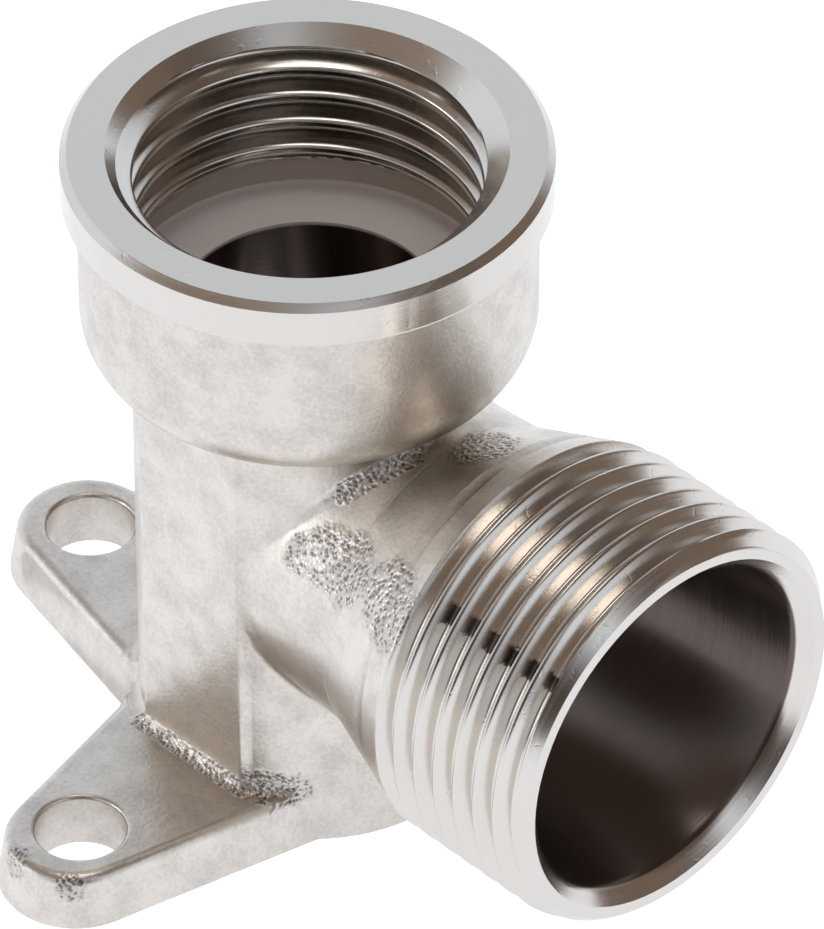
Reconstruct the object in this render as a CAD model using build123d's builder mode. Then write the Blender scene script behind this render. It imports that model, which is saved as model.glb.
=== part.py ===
from build123d import *
import math
import os

# Heights above the wall face, along the socket axis
socket_height = 41.0
outlet_axis_height = 17.3

# Socket: turned collar, forged cup and G 1/2 inside thread, plain at its crest diameter
collar_diameter = 26.4
collar_length = 2.6
collar_edge = 0.4
cup_diameter = 24.7
cup_floor_thickness = 2.5
cup_floor_inset = 0.45
socket_thread_crest = 18.63
socket_thread_root = 20.96
socket_mouth_diameter = 21.5
seat_depth = 10.9
relief_length = 1.6

# Column: round, with a flat pad on both sides that face along Y
column_diameter = 19.2
pad_spread = 18.3
pad_width = 7.6
pad_bevel_angle = 60.0
pad_bevel_length = 0.9
pad_edge_radius = 0.25
pad_root_radius = 0.8

# Branch and outlet, with an M24 x 1.5 outside thread, plain at its crest diameter
outlet_reach = 28.0
branch_root_diameter = 17.7
branch_end_diameter = 19.1
branch_length = 10.9
neck_start = 13.1
neck_end = 15.3
neck_diameter = 21.9
neck_radius = 0.8
outlet_thread_crest = 23.9
outlet_lead_in = 0.55

# Waterway, drilled from both mouths, and the bore and seat for the pipe end in the outlet
socket_waterway_diameter = 14.2
outlet_waterway_diameter = 13.8
drill_point_angle = 118.0
outlet_bore_diameter = 19.0
outlet_bore_depth = 13.4
outlet_seat_cone = 1.0

# Wall plate: two ears across the outlet and one behind it
plate_thickness = 3.5
ear_end_radius = 4.4
ear_end_overhang = 0.35
ear_root_radius = 8.45
ear_draft_angle = 9.0
side_hole_spacing = 35.0
back_hole_reach = 18.0
screw_hole_diameter = 5.0
screw_hole_edge = 0.25
ear_edge_radius = 0.65
wall_edge_radius = 0.4

# Radii that the forging die leaves in the inside corners
crotch_radius = 1.0
cup_root_radius = 0.25
foot_radius = 0.75

# Room left between the foot blend and the rounded edges of the ears
foot_margin = 0.1

column_radius = column_diameter / 2
ear_draft = plate_thickness * math.tan(math.radians(ear_draft_angle))
collar_radius = collar_diameter / 2
cup_radius = cup_diameter / 2
pad_reach = pad_spread / 2
seat_height = socket_height - seat_depth
cup_floor_height = seat_height - cup_floor_thickness
cup_floor_radius = column_radius - cup_floor_inset
cup_bottom_radius = cup_radius - cup_floor_radius
column_top = cup_floor_height + cup_bottom_radius
bevel_run = pad_bevel_length * math.cos(math.radians(pad_bevel_angle))
bevel_fall = pad_bevel_length * math.sin(math.radians(pad_bevel_angle))
branch_slope = (branch_end_diameter - branch_root_diameter) / 2 / branch_length
neck_profile_start = branch_length - neck_radius
neck_profile_root = branch_end_diameter / 2 - neck_radius * branch_slope
thread_rise = (outlet_thread_crest - neck_diameter) / 2
relief_top = seat_height + relief_length
relief_step = (socket_thread_root - socket_thread_crest) / 2
mouth_bevel = (socket_mouth_diameter - socket_thread_crest) / 2
waterway_bottom = outlet_axis_height - outlet_waterway_diameter / 2
drill_point_depth = socket_waterway_diameter / 2 / math.tan(math.radians(drill_point_angle / 2))
bore_end = outlet_reach - outlet_bore_depth
blend_reach = column_radius + foot_radius + foot_margin
outlet_axis = Axis((0, 0, outlet_axis_height), (1, 0, 0))
outlet_plane = Plane((0, 0, outlet_axis_height), x_dir=(1, 0, 0), z_dir=(0, -1, 0))
side_holes = [(0, -side_hole_spacing / 2), (0, side_hole_spacing / 2)]
back_holes = [(-back_hole_reach, 0)]
side_ear_reach = side_hole_spacing / 2 + ear_end_overhang
side_ear_ends = [(0, -side_ear_reach), (0, side_ear_reach)]
back_ear_ends = [(-back_hole_reach - ear_end_overhang, 0)]

# Largest distance at which two places count as the same, and as next to each other
tolerance = 0.01
reach = 0.6


def same(first, second):
    return abs(first - second) < tolerance


def distance_from_socket_axis(shape):
    middle = shape.position_at(0.5) if isinstance(shape, Edge) else shape.center()
    return math.hypot(middle.X, middle.Y)


# Outline of the column across its axis
with BuildSketch() as column_section:
    Circle(column_radius)
    with Locations((0, column_radius + pad_reach), (0, -column_radius - pad_reach)):
        Rectangle(column_diameter, column_diameter, mode=Mode.SUBTRACT)
    with BuildLine():
        Polyline(
            (-pad_width / 2, pad_reach),
            (pad_width / 2, pad_reach),
            (pad_width / 2 + bevel_run, pad_reach - bevel_fall),
            (pad_width / 2 + bevel_run, bevel_fall - pad_reach),
            (pad_width / 2, -pad_reach),
            (-pad_width / 2, -pad_reach),
            (-pad_width / 2 - bevel_run, bevel_fall - pad_reach),
            (-pad_width / 2 - bevel_run, pad_reach - bevel_fall),
            close=True,
        )
    make_face()
    pad_corners = column_section.vertices().filter_by(lambda v: same(abs(v.Y), pad_reach))
    fillet(pad_corners, radius=pad_edge_radius)
    pad_roots = column_section.vertices()
    pad_roots = pad_roots.filter_by(lambda v: same(distance_from_socket_axis(v), column_radius))
    fillet(pad_roots, radius=pad_root_radius)

# Ears with drafted sides and their wall-side edge rounded, and the sliver that rounding the other
# edge takes off
ears = []
ear_slivers = []
for ear_ends in (side_ear_ends, back_ear_ends):
    with BuildPart() as ear:
        for level, inset in ((0, 0), (plate_thickness, ear_draft)):
            with BuildSketch(Plane.XY.offset(level)):
                Circle(ear_root_radius - inset)
                with Locations(*ear_ends):
                    Circle(ear_end_radius - inset)
                make_hull()
        loft(ruled=True)
        fillet(ear.edges().group_by(Axis.Z)[0], radius=wall_edge_radius)
    ears.append(ear.part)

    with BuildPart() as ear_sliver:
        add(ear.part)
        with BuildPart(mode=Mode.SUBTRACT) as rounded_ear:
            add(ear.part)
            fillet(rounded_ear.edges().group_by(Axis.Z)[-1], radius=ear_edge_radius)
        with BuildSketch(Plane.XZ):
            with BuildLine():
                Polyline(
                    (0, plate_thickness - 2 * ear_edge_radius),
                    (blend_reach + 2 * ear_edge_radius, plate_thickness - 2 * ear_edge_radius),
                    (blend_reach, plate_thickness),
                    (0, plate_thickness),
                    close=True,
                )
            make_face()
        revolve(axis=Axis.Z, mode=Mode.SUBTRACT)
    ear_slivers.append(ear_sliver.part)

with BuildPart() as elbow_body:
    # Round core of the column
    with BuildSketch():
        Circle(column_radius)
    extrude(amount=column_top)
    fillet(elbow_body.edges().group_by(Axis.Z)[0], radius=wall_edge_radius)

    # Tapered branch, and the blend where it meets the column
    with BuildSketch(outlet_plane):
        with BuildLine():
            Polyline(
                (0, 0),
                (0, branch_root_diameter / 2),
                (branch_length, branch_end_diameter / 2),
                (branch_length, 0),
                close=True,
            )
        make_face()
    revolve(axis=outlet_axis)
    crotch = elbow_body.edges().filter_by(GeomType.BSPLINE)
    fillet(crotch, radius=crotch_radius)

    # Neck and outlet
    with BuildSketch(outlet_plane):
        with BuildLine():
            Polyline(
                (neck_profile_start, 0),
                (neck_profile_start, neck_profile_root),
                (branch_length, branch_end_diameter / 2),
                (neck_start, neck_diameter / 2),
                (neck_end, neck_diameter / 2),
                (neck_end + thread_rise, outlet_thread_crest / 2),
                (outlet_reach - outlet_lead_in, outlet_thread_crest / 2),
                (outlet_reach, outlet_thread_crest / 2 - outlet_lead_in),
                (outlet_reach, 0),
                close=True,
            )
        outlet_profile = make_face()
        branch_end = outlet_profile.vertices().filter_by(lambda v: same(v.X, branch_length))
        neck_shoulder = outlet_profile.vertices().filter_by(lambda v: same(v.X, neck_start))
        fillet(branch_end + neck_shoulder, radius=neck_radius)
    revolve(axis=outlet_axis)

    # Flat pads of the column, from inside the wall plate up to the cup
    with BuildSketch(Plane.XY.offset(plate_thickness / 2)):
        with Locations((0, column_radius + pad_reach), (0, -column_radius - pad_reach)):
            Rectangle(pad_width, column_diameter)
    extrude(amount=column_top, mode=Mode.SUBTRACT)
    with BuildSketch(Plane.XY.offset(plate_thickness / 2)):
        add(column_section.sketch)
    extrude(amount=column_top - plate_thickness / 2)

    # Cup with its rounded bottom, and the turned collar
    with BuildSketch(Plane.XZ):
        with BuildLine():
            Polyline(
                (0, column_top),
                (cup_radius, column_top),
                (cup_radius, socket_height - collar_length),
                (collar_radius, socket_height - collar_length),
                (collar_radius, socket_height - collar_edge),
                (collar_radius - collar_edge, socket_height),
                (0, socket_height),
                close=True,
            )
        make_face()
        with BuildLine():
            Polyline(
                (cup_radius, column_top),
                (0, column_top),
                (0, cup_floor_height),
                (cup_floor_radius, cup_floor_height),
            )
            RadiusArc((cup_floor_radius, cup_floor_height), (cup_radius, column_top), -cup_bottom_radius)
        make_face()
    revolve(axis=Axis.Z)
    cup_root = elbow_body.edges()
    cup_root = cup_root.filter_by_position(Axis.Z, cup_floor_height - reach, cup_floor_height + reach)
    cup_root = cup_root.filter_by(lambda e: distance_from_socket_axis(e) < cup_floor_radius + reach)
    fillet(cup_root, radius=cup_root_radius)

    # Ears, the blend at the foot of the column, and the rounding along the ears
    for ear_blank in ears:
        add(ear_blank)
    foot = elbow_body.edges()
    foot = foot.filter_by_position(Axis.Z, plate_thickness - tolerance, plate_thickness + tolerance)
    foot = foot.filter_by(lambda e: distance_from_socket_axis(e) < column_radius + reach)
    fillet(foot, radius=foot_radius)
    for sliver in ear_slivers:
        add(sliver, mode=Mode.SUBTRACT)

    # Thread core, relief and seat of the socket, and the waterway below it
    with BuildSketch(Plane.XZ):
        with BuildLine():
            Polyline(
                (0, waterway_bottom - drill_point_depth),
                (socket_waterway_diameter / 2, waterway_bottom),
                (socket_waterway_diameter / 2, seat_height),
                (socket_thread_root / 2, seat_height),
                (socket_thread_root / 2, relief_top),
                (socket_thread_crest / 2, relief_top + relief_step),
                (socket_thread_crest / 2, socket_height - mouth_bevel),
                (socket_mouth_diameter / 2, socket_height),
                (0, socket_height),
                close=True,
            )
        make_face()
    revolve(axis=Axis.Z, mode=Mode.SUBTRACT)

    # Seat, bore and waterway of the outlet
    with BuildSketch(outlet_plane):
        with BuildLine():
            Polyline(
                (0, 0),
                (0, outlet_waterway_diameter / 2),
                (bore_end, outlet_waterway_diameter / 2),
                (bore_end, outlet_bore_diameter / 2),
                (outlet_reach - outlet_seat_cone, outlet_bore_diameter / 2),
                (outlet_reach, outlet_bore_diameter / 2 + outlet_seat_cone),
                (outlet_reach, 0),
                close=True,
            )
        make_face()
    revolve(axis=outlet_axis, mode=Mode.SUBTRACT)

    # Screw holes, with their edges broken on both faces
    with Locations(*side_holes, *back_holes):
        Hole(screw_hole_diameter / 2, depth=plate_thickness * 3)
    rims = elbow_body.edges().filter_by(GeomType.CIRCLE)
    rims = rims.filter_by(lambda e: same(e.radius, screw_hole_diameter / 2))
    fillet(rims, radius=screw_hole_edge)

os.makedirs("parts", exist_ok=True)
elbow_body.part.label = "elbow_body"
export_step(elbow_body.part, "parts/elbow_body.step")
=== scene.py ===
"""Looks of the wall plate elbow: cut threads, nickel plating, studio and camera.

Sizes are in millimetres unless a name says otherwise, and are turned into
metres where a mesh, a lamp or the camera takes them.
"""
import logging
import math
from collections.abc import Mapping
from dataclasses import dataclass, field
from enum import Enum
from functools import reduce
from typing import Any

import bmesh
import bpy
from mathutils import Matrix, Vector


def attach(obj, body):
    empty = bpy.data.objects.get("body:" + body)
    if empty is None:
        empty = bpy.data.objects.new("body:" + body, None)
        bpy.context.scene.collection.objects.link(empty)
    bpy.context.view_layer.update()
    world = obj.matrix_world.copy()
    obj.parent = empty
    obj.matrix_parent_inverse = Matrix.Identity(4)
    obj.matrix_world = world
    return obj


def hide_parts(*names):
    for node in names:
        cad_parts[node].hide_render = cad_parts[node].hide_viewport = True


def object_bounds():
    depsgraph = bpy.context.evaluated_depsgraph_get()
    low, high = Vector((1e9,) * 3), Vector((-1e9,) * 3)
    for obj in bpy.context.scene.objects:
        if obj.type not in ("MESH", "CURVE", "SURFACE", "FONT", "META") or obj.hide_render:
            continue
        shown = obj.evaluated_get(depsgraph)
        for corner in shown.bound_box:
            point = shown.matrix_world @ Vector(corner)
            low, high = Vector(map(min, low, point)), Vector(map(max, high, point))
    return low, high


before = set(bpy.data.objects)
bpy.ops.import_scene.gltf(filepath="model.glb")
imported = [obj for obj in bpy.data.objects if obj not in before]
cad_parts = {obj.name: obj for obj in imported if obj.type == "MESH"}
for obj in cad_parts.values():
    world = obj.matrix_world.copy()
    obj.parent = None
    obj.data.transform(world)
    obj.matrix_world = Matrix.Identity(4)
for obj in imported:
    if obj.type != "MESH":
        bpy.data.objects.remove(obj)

bpy.context.view_layer.update()
cad_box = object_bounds()

log = logging.getLogger("wall_plate_elbow")

MM = 0.001
Colour = tuple[float, float, float]


class Term:
    """One output of a node tree, on which sums and products add Math nodes."""

    def __init__(self, tree: "Tree", socket: bpy.types.NodeSocket) -> None:
        """Wraps a socket of a tree."""
        self.tree = tree
        self.socket = socket

    def math(self, operation: str, *values: "Term | float", clamp: bool = False) -> "Term":
        """Adds one Math node.

        Args:
            operation: the Math node's operation.
            values: what its sockets hold, in order.
            clamp: whether the result is kept between 0 and 1.

        Returns:
            The node's result.
        """
        settings = {"operation": operation, "use_clamp": clamp}
        return self.tree.node("ShaderNodeMath", settings, dict(enumerate(values)))

    def __add__(self, other: "Term | float") -> "Term":
        """Sum of two values."""
        return self.math("ADD", self, other)

    def __radd__(self, other: float) -> "Term":
        """Sum of a number and this value."""
        return self.math("ADD", other, self)

    def __sub__(self, other: "Term | float") -> "Term":
        """Difference of two values."""
        return self.math("SUBTRACT", self, other)

    def __rsub__(self, other: float) -> "Term":
        """A number less this value."""
        return self.math("SUBTRACT", other, self)

    def __mul__(self, other: "Term | float") -> "Term":
        """Product of two values."""
        return self.math("MULTIPLY", self, other)

    def __rmul__(self, other: float) -> "Term":
        """Product of a number and this value."""
        return self.math("MULTIPLY", other, self)

    def __truediv__(self, other: "Term | float") -> "Term":
        """This value divided by another."""
        return self.math("DIVIDE", self, other)

    def __mod__(self, other: "Term | float") -> "Term":
        """Remainder of this value, never negative."""
        return self.math("FLOORED_MODULO", self, other)

    def __abs__(self) -> "Term":
        """Size of this value without its sign."""
        return self.math("ABSOLUTE", self)

    def floor(self) -> "Term":
        """Whole number at or below this value."""
        return self.math("FLOOR", self)

    def least(self, other: "Term | float") -> "Term":
        """Smaller of two values."""
        return self.math("MINIMUM", self, other)

    def most(self, other: "Term | float") -> "Term":
        """Larger of two values."""
        return self.math("MAXIMUM", self, other)

    def share(self) -> "Term":
        """This value kept between 0 and 1."""
        return self.math("ADD", self, 0.0, clamp=True)

    def over(self, limit: "Term | float") -> "Term":
        """1 where this value is larger than the limit, 0 elsewhere."""
        return self.math("GREATER_THAN", self, limit)

    def near(self, value: float, reach: float) -> "Term":
        """1 where this value is within reach of a number, 0 elsewhere."""
        return 1.0 - abs(self - value).over(reach)

    def towards(self, other: "Term", share: "Term") -> "Term":
        """This value moved towards another by a share of the way."""
        return self + share * (other - self)

    def rise(self, low: float, high: float) -> "Term":
        """Soft step.

        Args:
            low: value at which the step starts.
            high: value at which it is complete; a high below low gives a fall.

        Returns:
            0 before the step, 1 after it, with an eased slope between.
        """
        settings = {"interpolation_type": "SMOOTHSTEP"}
        limits = {"From Min": min(low, high), "From Max": max(low, high)}
        eased = self.tree.node("ShaderNodeMapRange", settings, {"Value": self, **limits})
        return eased if high > low else 1.0 - eased


class Tree:
    """A node tree that is written as expressions."""

    def __init__(self, tree: bpy.types.NodeTree) -> None:
        """Starts from an empty tree."""
        self.tree = tree
        self.tree.nodes.clear()

    def node(
        self,
        kind: str,
        settings: Mapping[str, Any] | None = None,
        inputs: Mapping[str | int, Any] | None = None,
        output: str | int = 0,
    ) -> Term:
        """Adds a node.

        Args:
            kind: the node's type.
            settings: attributes that are set first.
            inputs: a value or a Term for each named or numbered socket.
            output: name or number of the output that is returned.

        Returns:
            That output, or the node's first input if it has no output.
        """
        made = self.tree.nodes.new(kind)
        for name, value in (settings or {}).items():
            setattr(made, name, value)
        for name, value in (inputs or {}).items():
            if isinstance(value, Term):
                self.tree.links.new(value.socket, made.inputs[name])
            else:
                made.inputs[name].default_value = value
        return Term(self, made.outputs[output] if made.outputs else made.inputs[0])

    def vector(self, x: "Term | float", y: "Term | float", z: "Term | float") -> Term:
        """Vector of three values."""
        return self.node("ShaderNodeCombineXYZ", None, {"X": x, "Y": y, "Z": z})

    def vector_math(self, operation: str, first: Any, second: Any) -> Term:
        """Number that a Vector Math node finds from two vectors."""
        return self.node("ShaderNodeVectorMath", {"operation": operation}, {0: first, 1: second}, "Value")

    def spread(self, a: Term, b: Term) -> Term:
        """Length of the diagonal of two values."""
        return a.math("SQRT", a * a + b * b)

    def noise(self, place: Term, size: float, detail: float, roughness: float = 0.6) -> Term:
        """Cloudy noise from 0 to 1.

        Args:
            place: where it is read.
            size: size of its lumps, in the units of the place.
            detail: how many finer layers it has.
            roughness: how much each layer keeps of the strength of the one before.

        Returns:
            The noise.
        """
        inputs = {"Vector": place, "Scale": 1.0 / size, "Detail": detail, "Roughness": roughness}
        return self.node("ShaderNodeTexNoise", {"noise_dimensions": "3D"}, inputs)

    def bump(self, height: Term) -> Term:
        """Normal of a surface with that relief, in millimetres."""
        relief = {"Strength": 1.0, "Distance": MM, "Height": height}
        return self.node("ShaderNodeBump", None, relief, output="Normal")

    def blend(self, share: Term, first: Colour | Term, second: Colour | Term) -> Term:
        """Mixes two colours.

        Args:
            share: 0 for the first colour, 1 for the second.
            first: a colour or the output that gives it.
            second: the same.

        Returns:
            The colour between them.
        """
        # Colours go into the Mix node's sockets 6 and 7 and leave it by output 2.
        inputs: dict[str | int, Any] = {0: share}
        for number, colour in ((6, first), (7, second)):
            inputs[number] = colour if isinstance(colour, Term) else (*colour, 1.0)
        return self.node("ShaderNodeMix", {"data_type": "RGBA"}, inputs, output=2)


class ThreadSide(Enum):
    """Which side of the metal a thread is cut on."""

    OUTSIDE = "ring around a shaft"
    INSIDE = "plug in a bore"


@dataclass(frozen=True)
class ThreadCutter:
    """The waste of one right-handed thread, made by Geometry Nodes along local Z.

    Taken from the plain CAD body, it leaves the thread and the cones at both
    ends of it. Radii are those of the metal that stays. A share is a part of
    the pitch, and a slope is the radius that a cone gains with each millimetre.
    """

    name: str
    side: ThreadSide
    pitch: float
    crest_radius: float
    root_radius: float
    start: float
    end: float
    crest_share: float
    root_share: float
    softness: float
    turned: float
    mouth: float
    mouth_radius: float
    mouth_slope: float
    placement: Matrix
    start_radius: float = 0.0
    start_slope: float = 0.0
    run_in: float = 0.0
    run_in_rate: float = 4.0
    back_radius: float = 0.0
    back_start_radius: float = 0.0
    rows_per_turn: int = 20
    segments: int = 160
    closing_rows: int = 4
    row_guard: float = 1e-4
    weld: float = 0.002

    def sizes(self) -> dict[str, float | int]:
        """Works out the values of the tree's inputs.

        Returns:
            Each input's value, in metres, turns, shares or counts.
        """
        length = self.end - self.start + self.pitch
        return {
            "Pitch": self.pitch * MM,
            "Crest radius": self.crest_radius * MM,
            "Root radius": self.root_radius * MM,
            "Start": self.start * MM,
            "End": self.end * MM,
            "Mouth": self.mouth * MM,
            "Mouth radius": self.mouth_radius * MM,
            "Mouth slope": self.mouth_slope,
            "Start radius": self.start_radius * MM,
            "Start slope": self.start_slope,
            "Back radius": self.back_radius * MM,
            "Back start radius": self.back_start_radius * MM,
            "Crest share": self.crest_share,
            "Root share": self.root_share,
            "Softness": self.softness,
            "Turned": self.turned,
            "Run in": self.run_in,
            "Run in rate": self.run_in_rate,
            "Row step": self.pitch * MM / self.rows_per_turn,
            "Rows": math.ceil(length / self.pitch * self.rows_per_turn) + 1,
            "Segments": self.segments,
        }

    def along(self, size: Mapping[str, Term], row: Term, turn: Term) -> Term:
        """Place of a point along the axis.

        Four rows after the thread's own close the waste: one at its end, one where
        its back starts, and two at the thread's start.

        Args:
            size: the tree's inputs.
            row: number of the point's row.
            turn: part of a turn that the point stands round the axis.

        Returns:
            Its distance from the origin.
        """
        helix = size["Start"] - size["Pitch"] + row * size["Row step"] + turn * size["Pitch"]
        along = helix.most(size["Start"]).least(size["End"])
        back_rise = size["Back radius"] - size["Back start radius"]
        past_last = row - size["Rows"]
        along = along + past_last.over(0.5) * (size["Start"] + back_rise - along)
        return along + past_last.over(1.5) * (size["Start"] - along)

    def thread_depth(self, size: Mapping[str, Term], along: Term, turn: Term) -> Term:
        """Depth of the groove at a point.

        Args:
            size: the tree's inputs.
            along: place of the point along the axis.
            turn: part of a turn that it stands round the axis.

        Returns:
            0 on a crest, 1 on a root, and 0 all over before the run-in.
        """
        turns = (along - size["Start"]) / size["Pitch"] - turn + size["Turned"]
        from_crest = abs(turns % 1.0 - 0.5) * 2.0
        run_in = (((turns + 0.5).floor() + turn - size["Run in"]) * size["Run in rate"]).share()
        flank_share = 1.0 - size["Crest share"] - size["Root share"]
        flank = ((from_crest - size["Crest share"]) / flank_share).share()
        eased = flank * flank * (3.0 - 2.0 * flank)
        return run_in * (flank + size["Softness"] * (eased - flank))

    def radius(self, size: Mapping[str, Term], row: Term, along: Term, depth: Term) -> Term:
        """Distance of a point from the axis.

        Args:
            size: the tree's inputs.
            row: number of the point's row.
            along: place of the point along the axis.
            depth: depth of the groove there.

        Returns:
            The radius of the metal that stays, or that of the waste's back.
        """
        radius = size["Crest radius"] + (size["Root radius"] - size["Crest radius"]) * depth
        start_cone = size["Start radius"] + (along - size["Start"]) * size["Start slope"]
        mouth_cone = size["Mouth radius"] + (along - size["Mouth"]) * size["Mouth slope"]
        if self.side is ThreadSide.OUTSIDE:
            radius = radius.least(start_cone).least(mouth_cone)
        else:
            radius = radius.most(start_cone).most(mouth_cone)
        past_last = row - size["Rows"]
        radius = radius + past_last.near(0.5, 0.75) * (size["Back radius"] - radius)
        return radius + past_last.near(2.0, 0.25) * (size["Back start radius"] - radius)

    def tree(self) -> tuple[bpy.types.NodeTree, dict[str, str]]:
        """Builds the node tree of a helical cutter.

        Returns:
            The tree, and the identifier of each named input.
        """
        group = bpy.data.node_groups.new(f"{self.name}_form", "GeometryNodeTree")
        kinds = {name: "NodeSocketFloat" for name in self.sizes()}
        kinds |= {"Rows": "NodeSocketInt", "Segments": "NodeSocketInt", "Material": "NodeSocketMaterial"}
        identifiers = {}
        for name, kind in kinds.items():
            socket = group.interface.new_socket(name, in_out="INPUT", socket_type=kind)
            identifiers[name] = socket.identifier
        group.interface.new_socket("Geometry", in_out="OUTPUT", socket_type="NodeSocketGeometry")

        tree = Tree(group)
        size = {name: tree.node("NodeGroupInput", output=name) for name in identifiers}
        columns = size["Segments"] + 1.0
        index = tree.node("GeometryNodeInputIndex")
        row = (index / columns + self.row_guard).floor()
        turn = (index - row * columns) / size["Segments"]
        along = self.along(size, row, turn)
        radius = self.radius(size, row, along, self.thread_depth(size, along, turn))

        angle = turn * math.tau
        across, upright = angle.math("COSINE", angle), angle.math("SINE", angle)
        spot = tree.vector(radius * across, radius * upright, along)
        counts = {"Vertices X": size["Rows"] + self.closing_rows, "Vertices Y": columns}
        sheet = tree.node("GeometryNodeMeshGrid", None, counts)
        helix = tree.node("GeometryNodeSetPosition", None, {"Geometry": sheet, "Position": spot})
        weld = {"Geometry": helix, "Distance": self.weld * MM}
        closed = tree.node("GeometryNodeMergeByDistance", None, weld)
        real = tree.node("GeometryNodeRealizeInstances", None, {"Geometry": closed})
        finish = {"Geometry": real, "Material": size["Material"]}
        painted = tree.node("GeometryNodeSetMaterial", None, finish)
        tree.node("NodeGroupOutput", None, {"Geometry": painted})
        return group, identifiers

    def build(self, metal: bpy.types.Material) -> bpy.types.Object:
        """Makes the cutter.

        Args:
            metal: finish that the cut faces take.

        Returns:
            A closed mesh object in place, with its faces outwards.
        """
        empty = bpy.data.meshes.new(f"{self.name}_carrier")
        carrier = bpy.data.objects.new(f"{self.name}_carrier", empty)
        bpy.context.scene.collection.objects.link(carrier)
        modifier = carrier.modifiers.new("helix", "NODES")
        group, identifiers = self.tree()
        modifier.node_group = group
        for name, value in self.sizes().items():
            modifier[identifiers[name]] = value
        modifier[identifiers["Material"]] = metal
        mesh = plain_mesh(carrier)
        bpy.data.objects.remove(carrier)
        mesh.transform(self.placement)
        turn_outwards(mesh)
        cutter = bpy.data.objects.new(f"{self.name}_cutter", mesh)
        bpy.context.scene.collection.objects.link(cutter)
        return cutter


def direction(azimuth: float, elevation: float) -> Vector:
    """Unit vector towards a place round the object.

    Args:
        azimuth: degrees from -Y towards +X.
        elevation: degrees above the floor.

    Returns:
        The vector.
    """
    turn, tilt = math.radians(azimuth), math.radians(elevation)
    return Vector((math.sin(turn) * math.cos(tilt), -math.cos(turn) * math.cos(tilt), math.sin(tilt)))


def plain_mesh(made: bpy.types.Object) -> bpy.types.Mesh:
    """Mesh that an object's modifiers give."""
    graph = bpy.context.evaluated_depsgraph_get()
    return bpy.data.meshes.new_from_object(made.evaluated_get(graph))


def turn_outwards(mesh: bpy.types.Mesh, merge: float = 0.001) -> None:
    """Welds a closed mesh and turns its faces outwards.

    Args:
        mesh: mesh that is changed.
        merge: distance in millimetres under which points become one.
    """
    work = bmesh.new()
    work.from_mesh(mesh)
    bmesh.ops.remove_doubles(work, verts=work.verts, dist=merge * MM)
    bmesh.ops.dissolve_degenerate(work, edges=work.edges, dist=merge * MM / 10)
    bmesh.ops.recalc_face_normals(work, faces=work.faces)
    work.to_mesh(mesh)
    work.free()


@dataclass(frozen=True)
class ShadedPoint:
    """Where a shaded point lies, in millimetres, and the noises there."""

    place: Term
    x: Term
    y: Term
    z: Term
    from_socket: Term
    from_outlet: Term
    grain: Term
    clouds: Term
    pebbles: Term


@dataclass(frozen=True)
class TurnedZones:
    """How far a shaded point lies in each turned part, from 0 to 1."""

    seat_painted_light: Term
    inside: Term
    dark_reflection: Term
    on_lathe: Term


@dataclass(frozen=True)
class RoughPatch:
    """A place or a band where the forging kept the die's coarse skin."""

    centre: tuple[float, float, float]
    radius: float
    depth: float = 1.0
    end: tuple[float, float, float] | None = None

    def away(self, tree: Tree, place: Term) -> Term:
        """Distance to the patch's centre, or to the line from there to the band's end.

        Args:
            tree: the tree that takes the nodes.
            place: the shaded point in millimetres.

        Returns:
            The distance in millimetres.
        """
        nearest: Term | tuple[float, float, float] = self.centre
        if self.end is not None:
            start, line = Vector(self.centre), Vector(self.end) - Vector(self.centre)
            ahead = line.normalized()
            reach = tree.vector_math("DOT_PRODUCT", place, ahead)
            reach = (reach - start.dot(ahead)).most(0.0).least(line.length)
            nearest = tree.vector(*(start[axis] + reach * ahead[axis] for axis in range(3)))
        return tree.vector_math("DISTANCE", place, nearest)


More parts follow.
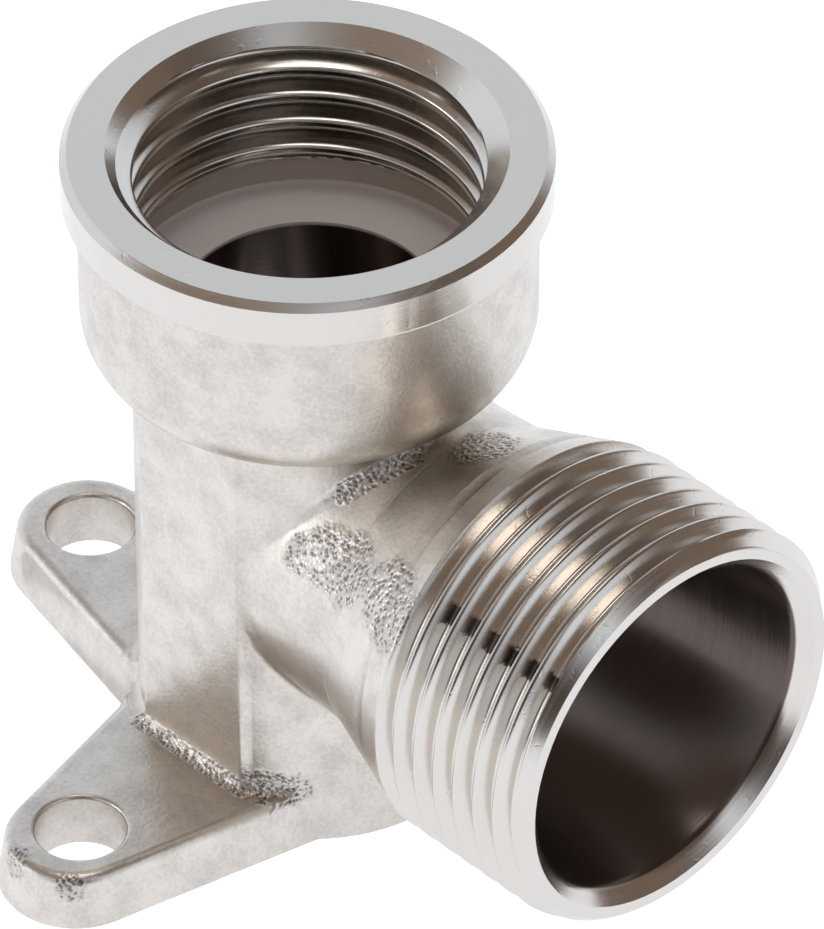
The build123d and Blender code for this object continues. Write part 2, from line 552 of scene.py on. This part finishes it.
@dataclass(frozen=True)
class ForgedSkin:
    """Blasted and plated forging: soft white metal with a fine sandy grain."""

    light: Colour = (0.74, 0.68, 0.605)
    dull: Colour = (0.25, 0.215, 0.20)
    dull_share: float = 0.12
    roughness: float = 0.33
    cloud_roughness: float = 0.14
    grain_size: float = 0.24
    grain_depth: float = 0.016
    grain_dulling: float = 0.6
    cloud_size: float = 2.2
    cloud_dulling: float = 0.8
    wave_size: float = 3.5
    wave_depth: float = 0.03
    pebble_size: float = 0.27
    pebble_depth: float = 0.07
    patch_reach: float = 1.15
    patch_fade: float = 0.45
    patch_edge_size: float = 1.4
    patch_edge_spread: float = 0.9
    patch_dulling: float = 0.20
    fleck_reach: float = 0.44
    fleck_spread: float = 1.2
    fleck_hardness: float = 5.0
    fleck_dulling: float = 0.85

    def coarse(self, tree: Tree, at: ShadedPoint, patches: tuple[RoughPatch, ...]) -> Term:
        """How much of the die's coarse skin a point has.

        Args:
            tree: the tree that takes the nodes.
            at: the shaded point.
            patches: places of the coarse skin.

        Returns:
            A share from 0 to 1, with ragged edges.
        """
        ragged = (tree.noise(at.place, self.patch_edge_size, detail=2.0) - 0.5) * self.patch_edge_spread
        shares = []
        for patch in patches:
            near = self.patch_reach - patch.away(tree, at.place) / patch.radius + ragged
            shares.append(near.rise(0.0, self.patch_fade) * patch.depth)
        return reduce(Term.most, shares)

    def height(self, tree: Tree, at: ShadedPoint, coarse: Term) -> Term:
        """Adds the skin's relief.

        Args:
            tree: the tree that takes the nodes.
            at: the shaded point.
            coarse: how much of the coarse skin it has.

        Returns:
            Height of the grain, the waves and the pebbles, in millimetres.
        """
        waves = tree.noise(at.place, self.wave_size, detail=1.0)
        fine = at.grain * self.grain_depth + waves * self.wave_depth
        return fine + at.pebbles * coarse * self.pebble_depth

    def colour(self, tree: Tree, at: ShadedPoint, coarse: Term) -> Term:
        """Adds the skin's colour.

        Args:
            tree: the tree that takes the nodes.
            at: the shaded point.
            coarse: how much of the coarse skin it has.

        Returns:
            A colour between light and dull, with dark flecks in the coarse skin.
        """
        flecks = self.fleck_reach - at.pebbles + (at.grain - 0.5) * self.fleck_spread
        flecks = (flecks * self.fleck_hardness).share() * self.fleck_dulling + self.patch_dulling
        dulling = (at.grain - 0.5) * self.grain_dulling + (at.clouds - 0.5) * self.cloud_dulling
        return tree.blend((self.dull_share + dulling + coarse * flecks).share(), self.light, self.dull)

    def sheen(self, at: ShadedPoint) -> Term:
        """Roughness, which varies in clouds."""
        return self.roughness + (at.clouds - 0.5) * self.cloud_roughness


@dataclass(frozen=True)
class DarkReflectionLine:
    """Row of painted dark reflections along the outlet, one in each groove of its thread.

    The angle is in degrees from the top towards -Y. The painted reflection lies between
    the start and the end along X, and between the inner and the outer radius.
    """

    angle: float
    start: float
    end: float
    inner: float
    outer: float
    width: float = 1.1
    half: float = 0.55
    fade: float = 0.16
    outer_fade: float = 0.15
    cloud_spread: float = 1.0
    grain_spread: float = 0.8
    faintest: float = 0.35
    unevenness: float = 1.1

    def share(self, at: ShadedPoint, outlet_height: float) -> Term:
        """How much of the painted dark reflection a point has.

        Args:
            at: the shaded point.
            outlet_height: height of the outlet's axis.

        Returns:
            A share from 0 to 1.
        """
        lean = math.radians(self.angle)
        sideways = at.y * math.cos(lean) + (at.z - outlet_height) * math.sin(lean)
        ragged = (at.clouds - 0.5) * self.cloud_spread + (at.grain - 0.5) * self.grain_spread
        dark_reflection = (self.half - abs(sideways + ragged) / self.width).rise(0.0, self.fade)
        dark_reflection = dark_reflection * at.x.over(self.start) * (1.0 - at.x.over(self.end)) * (1.0 - at.y.over(0.0))
        dark_reflection = dark_reflection * (self.faintest + at.clouds * self.unevenness).share()
        dark_reflection = dark_reflection * at.from_outlet.over(self.inner)
        return dark_reflection * at.from_outlet.rise(self.outer + self.outer_fade, self.outer - self.outer_fade)


@dataclass(frozen=True)
class TurnedSkin:
    """Plated metal that a lathe left, with rings round the axis it turned on."""

    light: Colour = (0.70, 0.65, 0.59)
    # Painted shade: the bores are coloured dark brown, and made less metallic, for the shade deep inside
    # them.
    bore_shade: Colour = (0.14, 0.108, 0.092)
    bore_metal: float = 0.8
    # Painted light: the seat is coloured near white and almost matt, so that it shows more light than its
    # metal would.
    seat_painted_light: Colour = (1.0, 0.93, 0.90)
    seat_metal: float = 0.05
    seat_roughness: float = 0.5
    # Painted reflection: dark streaks along the outlet's grooves, where its thread reflects a dark thing.
    dark_reflection_colour: Colour = (0.10, 0.08, 0.07)
    roughness: float = 0.20
    cloud_roughness: float = 0.10
    ring_size: float = 0.16
    ring_depth: float = 0.0025
    ring_roughness: float = 0.12
    axis_change: tuple[float, float] = (12.4, 12.6)
    outlet_ring_shift: float = 5.0
    dent_size: float = 0.6
    dent_depth: float = 0.004
    dent_share: tuple[float, float] = (0.60, 0.75)

    def rings(self, tree: Tree, at: ShadedPoint) -> Term:
        """Adds the tool marks of the lathe.

        Args:
            tree: the tree that takes the nodes.
            at: the shaded point.

        Returns:
            Noise in rings round the socket's axis, and round the outlet's axis past
            the change.
        """
        round_socket = tree.vector(at.from_socket, at.z, 0.0)
        round_outlet = tree.vector(at.from_outlet, at.x, self.outlet_ring_shift)
        # Vectors go into the Mix node's sockets 4 and 5 and leave it by output 1.
        ways = {0: at.x.rise(*self.axis_change), 4: round_socket, 5: round_outlet}
        way = tree.node("ShaderNodeMix", {"data_type": "VECTOR"}, ways, output=1)
        return tree.noise(way, self.ring_size, detail=2.0)

    def height(self, tree: Tree, at: ShadedPoint, zones: TurnedZones, rings: Term) -> Term:
        """Height of the rings, less small dents outside the bores, in millimetres."""
        dents = tree.noise(at.place, self.dent_size, detail=2.0).rise(*self.dent_share)
        return rings * self.ring_depth - dents * (1.0 - zones.inside) * self.dent_depth

    def colour(self, tree: Tree, zones: TurnedZones) -> Term:
        """Adds the skin's colour.

        Args:
            tree: the tree that takes the nodes.
            zones: the point's shares of the turned parts.

        Returns:
            A colour that is bright outside, dark in the bores as painted shade and in the
            painted dark reflection, and pale on the seat as painted light.
        """
        colour = tree.blend(zones.inside, self.light, self.bore_shade)
        colour = tree.blend(zones.seat_painted_light, colour, self.seat_painted_light)
        return tree.blend(zones.dark_reflection, colour, self.dark_reflection_colour)

    def sheen(self, at: ShadedPoint, zones: TurnedZones, rings: Term) -> Term:
        """Adds the skin's roughness.

        Args:
            at: the shaded point.
            zones: its shares of the turned parts.
            rings: the tool marks there.

        Returns:
            A roughness that the rings vary and the seat raises.
        """
        sheen = self.roughness + (at.clouds - 0.5) * self.cloud_roughness
        sheen = sheen + (rings - 0.5) * self.ring_roughness
        return sheen + zones.seat_painted_light * (self.seat_roughness - sheen)

    def metal(self, zones: TurnedZones) -> Term:
        """Share of bare metal, which is less in the bores and on the seat."""
        return 1.0 - zones.inside * (1.0 - self.bore_metal) - zones.seat_painted_light * (1.0 - self.seat_metal)


@dataclass(frozen=True)
class NickelPlating:
    """The finish of the whole body: forged skin, with turned skin where a lathe cut."""

    outlet_height: float
    collar_floor: float
    seat_height: float
    thread_start: float
    neck_start: float
    bore_radius: float
    socket_radius: float
    waterway_radius: float
    dark_reflection: DarkReflectionLine
    patches: tuple[RoughPatch, ...]
    forged: ForgedSkin = field(default_factory=ForgedSkin)
    turned: TurnedSkin = field(default_factory=TurnedSkin)
    edge: float = 0.12
    wall_far: float = 0.3
    wall_near: float = 0.2
    seat_edge: float = 0.1
    bore_fade: float = 1.0
    drill_start: tuple[float, float] = (4.5, 5.0)

    def point(self, tree: Tree) -> ShadedPoint:
        """Adds what the rest of the tree reads of the shaded point.

        Args:
            tree: the tree that takes the nodes.

        Returns:
            The point's place, its distances from both axes and its noises.
        """
        here = tree.node("ShaderNodeTexCoord", output="Object")
        place = tree.node("ShaderNodeVectorMath", {"operation": "SCALE"}, {0: here, "Scale": 1 / MM})
        x, y, z = (tree.node("ShaderNodeSeparateXYZ", None, {0: place}, output=axis) for axis in "XYZ")
        cells = {"Vector": place, "Scale": 1.0 / self.forged.pebble_size}
        return ShadedPoint(
            place=place,
            x=x,
            y=y,
            z=z,
            from_socket=tree.spread(x, y),
            from_outlet=tree.spread(y, z - self.outlet_height),
            grain=tree.noise(place, self.forged.grain_size, detail=3.0),
            clouds=tree.noise(place, self.forged.cloud_size, detail=4.0),
            pebbles=tree.node("ShaderNodeTexVoronoi", {"feature": "F1"}, cells, output="Distance"),
        )

    def within(self, distance: Term, radius: float) -> Term:
        """1 up to a wall of that radius and soon 0 past it."""
        return distance.rise(radius + self.wall_far, radius + self.wall_near)

    def zones(self, at: ShadedPoint) -> TurnedZones:
        """Finds the turned parts.

        Args:
            at: the shaded point.

        Returns:
            Its shares of the seat, the two bores, the painted dark reflection and all that was turned.
        """
        collar = at.z.rise(self.collar_floor - self.edge, self.collar_floor + self.edge)
        outlet = at.x.rise(self.thread_start - self.edge, self.thread_start + self.edge)
        socket_bore = at.z.rise(self.seat_height - self.wall_far, self.seat_height - self.seat_edge)
        socket_bore = socket_bore * self.within(at.from_socket, self.socket_radius)
        outlet_bore = at.x.rise(self.neck_start - self.bore_fade, self.neck_start)
        outlet_bore = outlet_bore * self.within(at.from_outlet, self.bore_radius)
        drilled = self.within(at.from_socket, self.waterway_radius) * at.z.rise(*self.drill_start)
        drilled = drilled * (1.0 - at.z.rise(self.seat_height, self.seat_height + self.wall_near))
        # Both bores, which are coloured dark as painted shade and kept free of dents.
        inside = outlet_bore.most(drilled)
        # The seat, which is coloured near white as painted light.
        seat_painted_light = socket_bore * at.z.rise(self.seat_height + self.wall_far, self.seat_height + self.seat_edge)
        # Painted dark reflection along the outlet's grooves.
        dark_reflection = self.dark_reflection.share(at, self.outlet_height)
        return TurnedZones(seat_painted_light, inside, dark_reflection, collar.most(socket_bore).most(outlet).most(inside))

    def build(self, name: str) -> bpy.types.Material:
        """Makes the material.

        Args:
            name: the material's name.

        Returns:
            A material that reads Object coordinates only.
        """
        material = bpy.data.materials.new(name)
        material.use_nodes = True
        tree = Tree(material.node_tree)
        at = self.point(tree)
        zones = self.zones(at)
        coarse = self.forged.coarse(tree, at, self.patches)
        rings = self.turned.rings(tree, at)
        forged_colour = self.forged.colour(tree, at, coarse)
        turned_colour = self.turned.colour(tree, zones)
        forged_height = self.forged.height(tree, at, coarse)
        turned_height = self.turned.height(tree, at, zones, rings)
        turned_sheen = self.turned.sheen(at, zones, rings)
        inputs = {
            "Base Color": tree.blend(zones.on_lathe, forged_colour, turned_colour),
            "Roughness": self.forged.sheen(at).towards(turned_sheen, zones.on_lathe),
            "Metallic": self.turned.metal(zones),
            "Normal": tree.bump(forged_height.towards(turned_height, zones.on_lathe)),
        }
        metal = tree.node("ShaderNodeBsdfPrincipled", None, inputs)
        tree.node("ShaderNodeOutputMaterial", None, {"Surface": metal})
        return material


@dataclass
class ElbowBody:
    """The forged body with its two threads cut."""

    plate_thickness: float = 3.5
    outlet_height: float = 17.3
    socket_height: float = 41.0
    outlet_reach: float = 28.0
    outlet_pitch: float = 1.5
    outlet_phase: float = 14.25
    outlet_run_in: float = 4.6
    outlet_crest: float = 11.93
    outlet_root: float = 11.08
    outlet_cone_start: float = 10.95
    outlet_cone_radius: float = 9.59
    outlet_cone_slope: float = 0.36
    outlet_face_radius: float = 11.2
    turned_start: float = 17.2
    neck_start: float = 13.1
    bore_radius: float = 9.5
    socket_pitch: float = 1.814
    socket_crest: float = 9.335
    socket_root: float = 10.45
    socket_thread_start: float = 31.3
    socket_mouth_radius: float = 10.76
    seat_height: float = 30.1
    socket_radius: float = 10.48
    waterway_radius: float = 7.1
    collar_floor: float = 38.4
    # Painted dark reflection on the outlet: its angle round the axis, and where it starts and ends along
    # X.
    dark_reflection_angle: float = 46.0
    dark_reflection_start: float = 18.3
    dark_reflection_end: float = 27.1
    bore_wall: float = 1.0
    clear: float = 0.7
    smooth_angle: float = 28.0
    flat_limit: float = 0.99999
    flat_reach: float = 0.01

    def rough_patches(self) -> tuple[RoughPatch, ...]:
        """Lists the coarse die skin.

        Returns:
            Its places, read off the photograph.
        """
        return (
            RoughPatch((8.3, -5.4, 25.2), 0.65, end=(9.4, -3.6, 26.15)),
            RoughPatch((9.4, -3.6, 26.15), 0.60, end=(10.1, -1.7, 26.8)),
            RoughPatch((12.6, 0.9, 27.6), 2.1),
            RoughPatch((7.6, -8.0, 22.0), 1.2),
            RoughPatch((9.1, -7.7, 22.8), 1.8),
            RoughPatch((10.9, -7.8, 22.9), 2.3),
            RoughPatch((15.0, -8.6, 24.1), 2.3),
            RoughPatch((16.1, -9.4, 23.9), 2.0),
            RoughPatch((-4.2, -9.35, 3.72), 0.50, end=(4.0, -9.35, 3.72)),
            RoughPatch((4.9, -8.6, 3.9), 1.1, end=(6.2, -7.4, 4.0)),
            RoughPatch((2.7, -20.7, 2.8), 0.9),
            RoughPatch((-0.8, -21.6, 3.1), 1.0, depth=0.7),
        )

    def finish(self) -> bpy.types.Material:
        """Fits the nickel plating to this body.

        Returns:
            The material.
        """
        plating = NickelPlating(
            outlet_height=self.outlet_height,
            collar_floor=self.collar_floor,
            seat_height=self.seat_height,
            thread_start=self.turned_start,
            neck_start=self.neck_start,
            bore_radius=self.bore_radius,
            socket_radius=self.socket_radius,
            waterway_radius=self.waterway_radius,
            dark_reflection=DarkReflectionLine(
                angle=self.dark_reflection_angle,
                start=self.dark_reflection_start,
                end=self.dark_reflection_end,
                inner=self.bore_radius + self.bore_wall,
                outer=(self.outlet_crest + self.outlet_root) / 2,
            ),
            patches=self.rough_patches(),
        )
        return plating.build("nickel_plating")

    def outlet_cutter(self) -> ThreadCutter:
        """Sets out the outlet's thread, M24 x 1.5.

        Returns:
            The cutter of the ring of waste around it.
        """
        lies_along_x = Matrix(((0, 0, 1), (1, 0, 0), (0, 1, 0))).to_4x4()
        lies_along_x.translation.z = self.outlet_height * MM
        return ThreadCutter(
            name="outlet_thread",
            side=ThreadSide.OUTSIDE,
            pitch=self.outlet_pitch,
            crest_radius=self.outlet_crest,
            root_radius=self.outlet_root,
            start=self.outlet_cone_start,
            end=self.outlet_reach + self.clear,
            crest_share=0.08,
            root_share=0.10,
            softness=0.0,
            turned=(self.outlet_cone_start - self.outlet_phase) / self.outlet_pitch % 1.0,
            run_in=self.outlet_run_in,
            mouth=self.outlet_reach,
            mouth_radius=self.outlet_face_radius,
            mouth_slope=-1.0,
            placement=lies_along_x,
            start_radius=self.outlet_cone_radius,
            start_slope=self.outlet_cone_slope,
            back_radius=self.outlet_crest + self.clear,
            back_start_radius=self.outlet_cone_radius + self.clear / 2,
        )

    def socket_cutter(self) -> ThreadCutter:
        """Sets out the socket's thread, G 1/2.

        Returns:
            The cutter of the plug of waste in it.
        """
        return ThreadCutter(
            name="socket_thread",
            side=ThreadSide.INSIDE,
            pitch=self.socket_pitch,
            crest_radius=self.socket_crest,
            root_radius=self.socket_root,
            start=self.socket_thread_start,
            end=self.socket_height + self.clear,
            crest_share=0.2,
            root_share=0.15,
            softness=0.8,
            turned=0.81,
            mouth=self.socket_height,
            mouth_radius=self.socket_mouth_radius,
            mouth_slope=1.0,
            placement=Matrix.Identity(4),
        )

    def is_machined_face(self, face: bpy.types.MeshPolygon) -> bool:
        """Tells flat turned or pressed faces from the rest.

        Args:
            face: a face of the finished body.

        Returns:
            Whether it lies in a flat of the plate, the seat, the collar or the outlet.
        """
        levels = (0.0, self.plate_thickness, self.seat_height, self.collar_floor, self.socket_height)
        across = abs(face.normal.z) > self.flat_limit
        across = across and min(abs(face.center.z / MM - level) for level in levels) < self.flat_reach
        outlet = abs(face.center.x / MM - self.outlet_reach) < self.flat_reach
        return across or (outlet and face.normal.x > self.flat_limit)

    def build(self) -> bpy.types.Object:
        """Copies the CAD body, cuts both threads and dresses it.

        Returns:
            The finished piece, which stands in for the CAD node.
        """
        metal = self.finish()
        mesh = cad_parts["elbow_body"].data.copy()
        mesh.materials.clear()
        mesh.materials.append(metal)
        turn_outwards(mesh)
        body = bpy.data.objects.new("elbow_body_plated", mesh)
        bpy.context.scene.collection.objects.link(body)
        cutters = [cutter.build(metal) for cutter in (self.outlet_cutter(), self.socket_cutter())]
        for cutter in cutters:
            cut = body.modifiers.new("thread", "BOOLEAN")
            cut.operation = "DIFFERENCE"
            cut.solver = "EXACT"
            cut.object = cutter
        finished = plain_mesh(body)
        body.modifiers.clear()
        body.data = finished
        for cutter in cutters:
            bpy.data.objects.remove(cutter)
        finished.shade_smooth()
        finished.set_sharp_from_angle(angle=math.radians(self.smooth_angle))
        for face in finished.polygons:
            face.use_smooth = not self.is_machined_face(face)
        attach(body, "root")
        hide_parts("elbow_body")
        log.info("%s: %d faces", body.name, len(finished.polygons))
        return body


@dataclass(frozen=True)
class Viewpoint:
    """Camera that stands where the photograph was taken from."""

    azimuth: float = 46.19
    elevation: float = 40.63
    roll: float = -0.33
    distance: float = 695.76
    right_offset: float = 5.37
    up_offset: float = 14.36
    focal_pixels: float = 12626.0
    image_height: float = 929.0
    sensor: float = 36.0
    nearest: float = 10.0

    def build(self) -> None:
        """Creates the camera and makes it the scene's."""
        turn, roll = math.radians(self.azimuth), math.radians(self.roll)
        level = Vector((math.cos(turn), math.sin(turn), 0.0))
        back = direction(self.azimuth, self.elevation)
        rise = back.cross(level)
        right = math.cos(roll) * level + math.sin(roll) * rise
        up = math.cos(roll) * rise - math.sin(roll) * level
        place = back * self.distance + right * self.right_offset + up * self.up_offset
        lens = bpy.data.cameras.new("view")
        lens.sensor_width = self.sensor
        lens.lens = self.focal_pixels * self.sensor / self.image_height
        lens.clip_start = self.nearest * MM
        camera = bpy.data.objects.new("view", lens)
        turned = Matrix((right, up, back)).transposed().to_4x4()
        camera.matrix_world = Matrix.Translation(place * MM) @ turned
        bpy.context.scene.collection.objects.link(camera)
        bpy.context.scene.camera = camera
        log.info("camera: lens %.1f mm", lens.lens)


@dataclass(frozen=True)
class Softbox:
    """One large soft lamp that points at the object."""

    name: str
    azimuth: float
    elevation: float
    distance: float
    width: float
    power: float
    colour: Colour = (1.0, 1.0, 1.0)

    def build(self, target: Vector) -> None:
        """Creates the lamp.

        Args:
            target: point in metres that it is aimed at.
        """
        back = direction(self.azimuth, self.elevation)
        lamp = bpy.data.lights.new(self.name, "AREA")
        lamp.shape = "DISK"
        lamp.size = self.width * MM
        lamp.energy = self.power
        lamp.color = self.colour
        holder = bpy.data.objects.new(self.name, lamp)
        turned = back.to_track_quat("Z", "Y").to_matrix().to_4x4()
        holder.matrix_world = Matrix.Translation(target + back * self.distance * MM) @ turned
        bpy.context.scene.collection.objects.link(holder)


@dataclass(frozen=True)
class Shade:
    """Round dark part of the surroundings, with angles in degrees."""

    azimuth: float
    elevation: float
    inner: float
    outer: float
    colour: Colour


@dataclass(frozen=True)
class Studio:
    """Pale floor, white surroundings and soft lamps."""

    floor_half: float = 900.0
    floor_colour: Colour = (0.85, 0.85, 0.85)
    floor_glow: float = 1.1
    floor_gleam: float = 0.72
    floor_tint: Colour = (0.92, 1.0, 1.12)
    horizon: Colour = (0.88, 0.96, 1.07)
    ceiling: Colour = (0.50, 0.53, 0.57)
    ceiling_start: float = 28.0
    ceiling_full: float = 70.0
    shades: tuple[Shade, ...] = (
        Shade(azimuth=-30.0, elevation=66.0, inner=28.0, outer=44.0, colour=(0.27, 0.21, 0.17)),
        Shade(azimuth=46.0, elevation=15.0, inner=14.0, outer=40.0, colour=(0.075, 0.055, 0.045)),
        Shade(azimuth=135.0, elevation=56.0, inner=24.0, outer=40.0, colour=(0.13, 0.095, 0.075)),
        Shade(azimuth=146.0, elevation=10.0, inner=16.0, outer=38.0, colour=(0.20, 0.15, 0.12)),
    )
    lamps: tuple[Softbox, ...] = (
        Softbox("key", azimuth=-38.0, elevation=14.0, distance=600.0, width=260.0, power=0.35),
        Softbox("top", azimuth=46.0, elevation=86.0, distance=600.0, width=260.0, power=0.42),
    )

    def build_floor(self) -> None:
        """Lays the floor, which looks white to the camera and keeps the shadow."""
        half = self.floor_half * MM
        mesh = bpy.data.meshes.new("floor")
        corners = [(-half, -half, 0), (half, -half, 0), (half, half, 0), (-half, half, 0)]
        mesh.from_pydata(corners, [], [(0, 1, 2, 3)])
        paper = bpy.data.materials.new("paper")
        paper.use_nodes = True
        tree = Tree(paper.node_tree)
        seen = tree.node("ShaderNodeLightPath", output="Is Camera Ray")
        mirrored = tree.node("ShaderNodeLightPath", output="Is Glossy Ray")
        matt = tree.node("ShaderNodeBsdfDiffuse", None, {"Color": (*self.floor_colour, 1.0)})
        strength = seen * self.floor_glow + mirrored * self.floor_gleam
        light = {"Color": (*self.floor_tint, 1.0), "Strength": strength}
        glow = tree.node("ShaderNodeEmission", None, light)
        both = tree.node("ShaderNodeAddShader", None, {0: matt, 1: glow})
        tree.node("ShaderNodeOutputMaterial", None, {"Surface": both})
        mesh.materials.append(paper)
        floor = bpy.data.objects.new("floor", mesh)
        bpy.context.scene.collection.objects.link(floor)

    def build_world(self) -> None:
        """Surrounds the object with soft white, pure white to the camera."""
        world = bpy.data.worlds.new("surroundings")
        world.use_nodes = True
        bpy.context.scene.world = world
        tree = Tree(world.node_tree)
        seen = tree.node("ShaderNodeLightPath", output="Is Camera Ray")
        toward = tree.node("ShaderNodeTexCoord", output="Generated")
        height = tree.node("ShaderNodeSeparateXYZ", None, {0: toward}, output="Z")
        limits = (self.ceiling_start, self.ceiling_full)
        above = height.rise(*(math.sin(math.radians(limit)) for limit in limits))
        colour = tree.blend(above, self.horizon, self.ceiling)
        for shade in self.shades:
            facing = tree.vector_math("DOT_PRODUCT", toward, direction(shade.azimuth, shade.elevation))
            edge = (math.cos(math.radians(shade.outer)), math.cos(math.radians(shade.inner)))
            colour = tree.blend(facing.rise(*edge), colour, shade.colour)
        colour = tree.blend(seen, colour, (1.0, 1.0, 1.0))
        light = tree.node("ShaderNodeBackground", None, {"Color": colour, "Strength": 1.0})
        tree.node("ShaderNodeOutputWorld", None, {"Surface": light})

    def build(self, target: Vector) -> None:
        """Builds floor, world and lamps.

        Args:
            target: point in metres that the lamps face.
        """
        self.build_floor()
        self.build_world()
        for lamp in self.lamps:
            lamp.build(target)
        bpy.context.scene.view_settings.view_transform = "Standard"
        log.info("studio: %d lamps", len(self.lamps))


def main() -> None:
    """Builds the elbow, the studio and the camera."""
    logging.basicConfig(level=logging.INFO, format="%(name)s %(message)s")
    low, high = cad_box
    ElbowBody().build()
    Studio().build((low + high) / 2)
    Viewpoint().build()
    bpy.context.view_layer.update()


if __name__ == "__main__":
    main()
